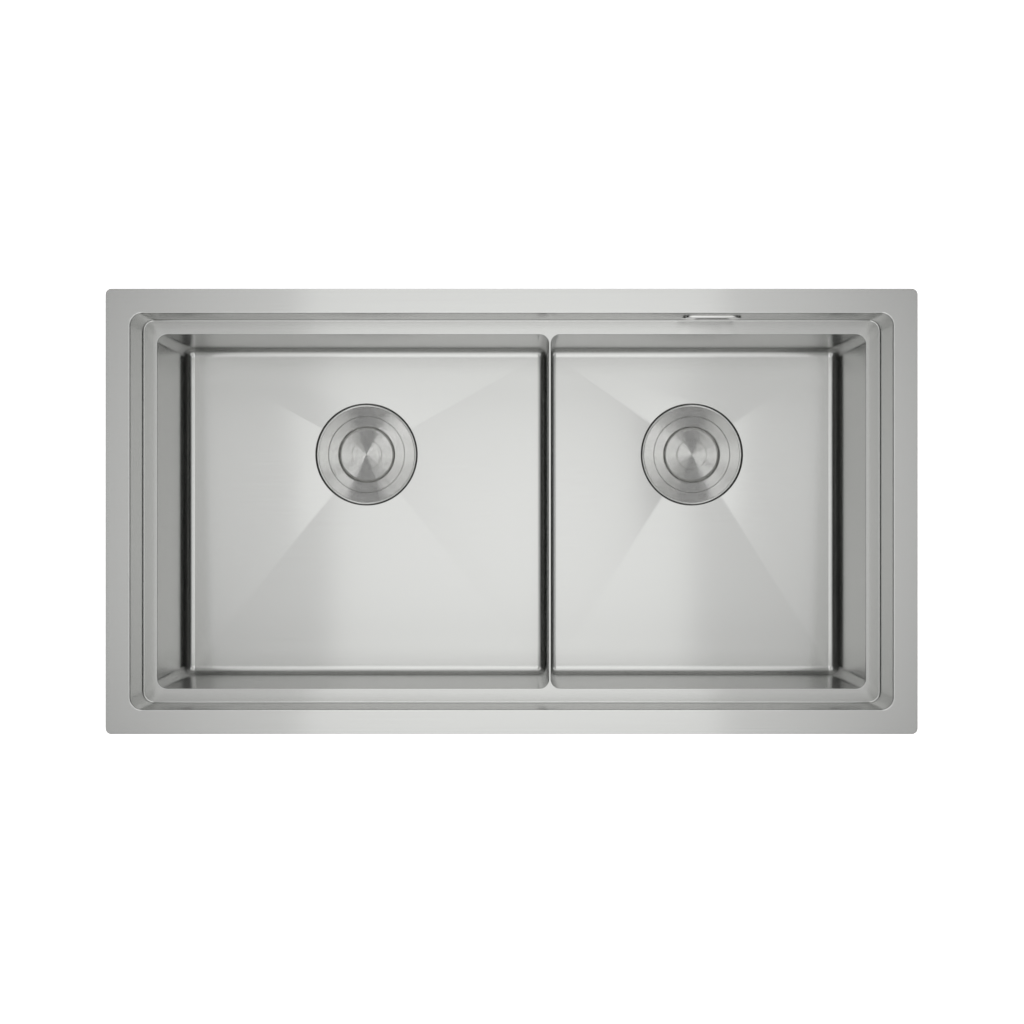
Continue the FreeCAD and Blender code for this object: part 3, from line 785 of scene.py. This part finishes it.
def addFloor():
    # matt and pale, with a glow for what is seen directly, and clear from below
    bm = bmesh.new()
    made = bmesh.ops.create_grid(bm, x_segments=1, y_segments=1, size=studio["floorSize"])
    bmesh.ops.translate(bm, vec=(0, 0, cadBounds[0].z - studio["floorDrop"]), verts=made["verts"])
    mesh = bpy.data.meshes.new("paleFloor")
    bm.to_mesh(mesh)
    bm.free()
    material, tree = newMaterial("paleFloor")
    glow = addNode(tree, "ShaderNodeMath", {"operation": "MULTIPLY"}, {1: studio["floorGlow"]},
                   {0: seenDirectly(tree)})
    matt = addNode(tree, "ShaderNodeBsdfDiffuse", {}, {"Color": linearColour(studio["floorColour"])})
    light = addNode(tree, "ShaderNodeEmission", {}, {}, {"Strength": glow.outputs[0]})
    both = addNode(tree, "ShaderNodeAddShader", {}, {}, {0: matt.outputs[0], 1: light.outputs[0]})
    clear = addNode(tree, "ShaderNodeBsdfTransparent")
    below = addNode(tree, "ShaderNodeNewGeometry").outputs["Backfacing"]
    mixed = addNode(tree, "ShaderNodeMixShader", {}, {}, {0: below, 1: both.outputs[0], 2: clear.outputs[0]})
    addNode(tree, "ShaderNodeOutputMaterial", links={"Surface": mixed.outputs[0]})
    mesh.materials.append(material)
    floor = bpy.data.objects.new("paleFloor", mesh)
    bpy.context.scene.collection.objects.link(floor)


def addPanels():
    for name, panel in studio["panels"].items():
        data = bpy.data.lights.new(name, "AREA")
        data.shape = "RECTANGLE"
        data.size, data.size_y = panel["wide"], panel["deep"]
        data.energy = panel["strength"] * math.pi * panel["wide"] * panel["deep"]
        lamp = bpy.data.objects.new(name, data)
        lamp.location = (0, 0, panel["height"])
        lamp.visible_camera = False
        bpy.context.scene.collection.objects.link(lamp)


sky = {
    # name, sum and what it takes: each turn in radians, then in degrees
    # height is 0 at the horizon and 1 overhead, and heading is 0 to the front and back
    "measures": [
        ("sideways", "ABSOLUTE", "X"), ("endways", "ABSOLUTE", "Y"),
        ("awayTurn", "ARCCOSINE", "height"), ("away", "DEGREES", "awayTurn"),
        ("acrossTurn", "ARCTAN2", "sideways", "height"), ("across", "DEGREES", "acrossTurn"),
        ("alongTurn", "ARCTAN2", "endways", "height"), ("along", "DEGREES", "alongTurn"),
        ("headingTurn", "ARCTAN2", "sideways", "endways"), ("heading", "DEGREES", "headingTurn"),
    ],
    # strengths that change over a span of one measure
    "fades": {
        "roof": ("away", (14.0, 21.0), 0.42, 0.0),
        "roundRoof": ("away", (14.0, 21.0), 0.0, 1.0),
        "patchAcross": ("across", (0.0, 15.0), 0.34, 0.0),      # brighter patch overhead
        "patchAlong": ("along", (6.0, 15.0), 1.0, 0.0),
        "sidesOut": ("across", (20.0, 58.0), 0.85, 0.0),        # left and right
        "sidesBroad": ("along", (6.5, 20.0), 1.0, 0.0),
        "endsOut": ("along", (35.0, 85.0), 1.35, 0.50),         # front and back
        "endsBroad": ("across", (7.0, 17.5), 1.0, 0.0),
        "lowIn": ("away", (38.0, 46.0), 0.0, 1.10),             # wide low band round the front and back
        "lowOut": ("away", (66.0, 80.0), 1.0, 0.0),
        "lowTurn": ("heading", (56.0, 70.0), 1.0, 0.0),
        "above": ("height", (-0.02, 0.0), 0.0, 1.0),
        "unlit": ("height", (-0.02, 0.0), 0.0, 0.003),          # the upper sky is nowhere quite black
        "below": ("height", (-0.02, 0.0), 0.75, 0.0),
        "backdropIn": ("height", (-0.05, -0.04), 0.0, 1.0),     # pale band on the horizon
        "backdropOut": ("height", (0.15, 0.18), 1.0, 0.0),
    },
    # name, sum and the two values that it takes
    "mixing": [
        ("sides", "MULTIPLY", "sidesOut", "sidesBroad"),
        ("ends", "MULTIPLY", "endsOut", "endsBroad"),
        ("sidesAndEnds", "MAXIMUM", "sides", "ends"),
        ("ring", "MULTIPLY", "roundRoof", "sidesAndEnds"),
        ("roofAndRing", "ADD", "roof", "ring"),
        ("lowAllRound", "MULTIPLY", "lowIn", "lowOut"),
        ("low", "MULTIPLY", "lowAllRound", "lowTurn"),
        ("withLow", "MAXIMUM", "roofAndRing", "low"),
        ("patch", "MULTIPLY", "patchAcross", "patchAlong"),
        ("withPatch", "ADD", "withLow", "patch"),
        ("lit", "MULTIPLY", "withPatch", "above"),
        ("upper", "ADD", "lit", "unlit"),
        ("whole", "MAXIMUM", "upper", "below"),
        ("backdrop", "MULTIPLY", "backdropIn", "backdropOut"),
        ("backdropSeen", "MULTIPLY", "seen", "backdrop"),
        ("strength", "MAXIMUM", "whole", "backdropSeen"),
    ],
}


def addWorld():
    # a roof overhead, light down to both sides and further down to the front and back, a wide low band round
    # the front and back, and a pale horizon for what is seen directly
    world = bpy.data.worlds.new("studio")
    bpy.context.scene.world = world
    world.use_nodes = True
    tree = world.node_tree
    tree.nodes.clear()
    direction = addNode(tree, "ShaderNodeTexCoord").outputs["Generated"]
    parts = addNode(tree, "ShaderNodeSeparateXYZ", links={0: direction}).outputs
    values = {"X": parts["X"], "Y": parts["Y"], "height": parts["Z"], "seen": seenDirectly(tree)}
    for name, operation, *taken in sky["measures"]:
        links = {k: values[source] for k, source in enumerate(taken)}
        values[name] = addNode(tree, "ShaderNodeMath", {"operation": operation}, {}, links).outputs[0]
    for name, (measure, span, first, last) in sky["fades"].items():
        values[name] = addNode(tree, "ShaderNodeMapRange", {"interpolation_type": "SMOOTHSTEP"},
                               {"From Min": span[0], "From Max": span[1], "To Min": first, "To Max": last},
                               {"Value": values[measure]}).outputs[0]
    for name, operation, first, second in sky["mixing"]:
        links = {0: values[first], 1: values[second]}
        values[name] = addNode(tree, "ShaderNodeMath", {"operation": operation}, {}, links).outputs[0]
    light = addNode(tree, "ShaderNodeBackground", {}, {"Color": (1, 1, 1, 1)},
                    {"Strength": values["strength"]})
    addNode(tree, "ShaderNodeOutputWorld", links={"Surface": light.outputs[0]})


addFloor()
addPanels()
addWorld()
bpy.context.scene.view_settings.view_transform = "Standard"
print("studio ready")
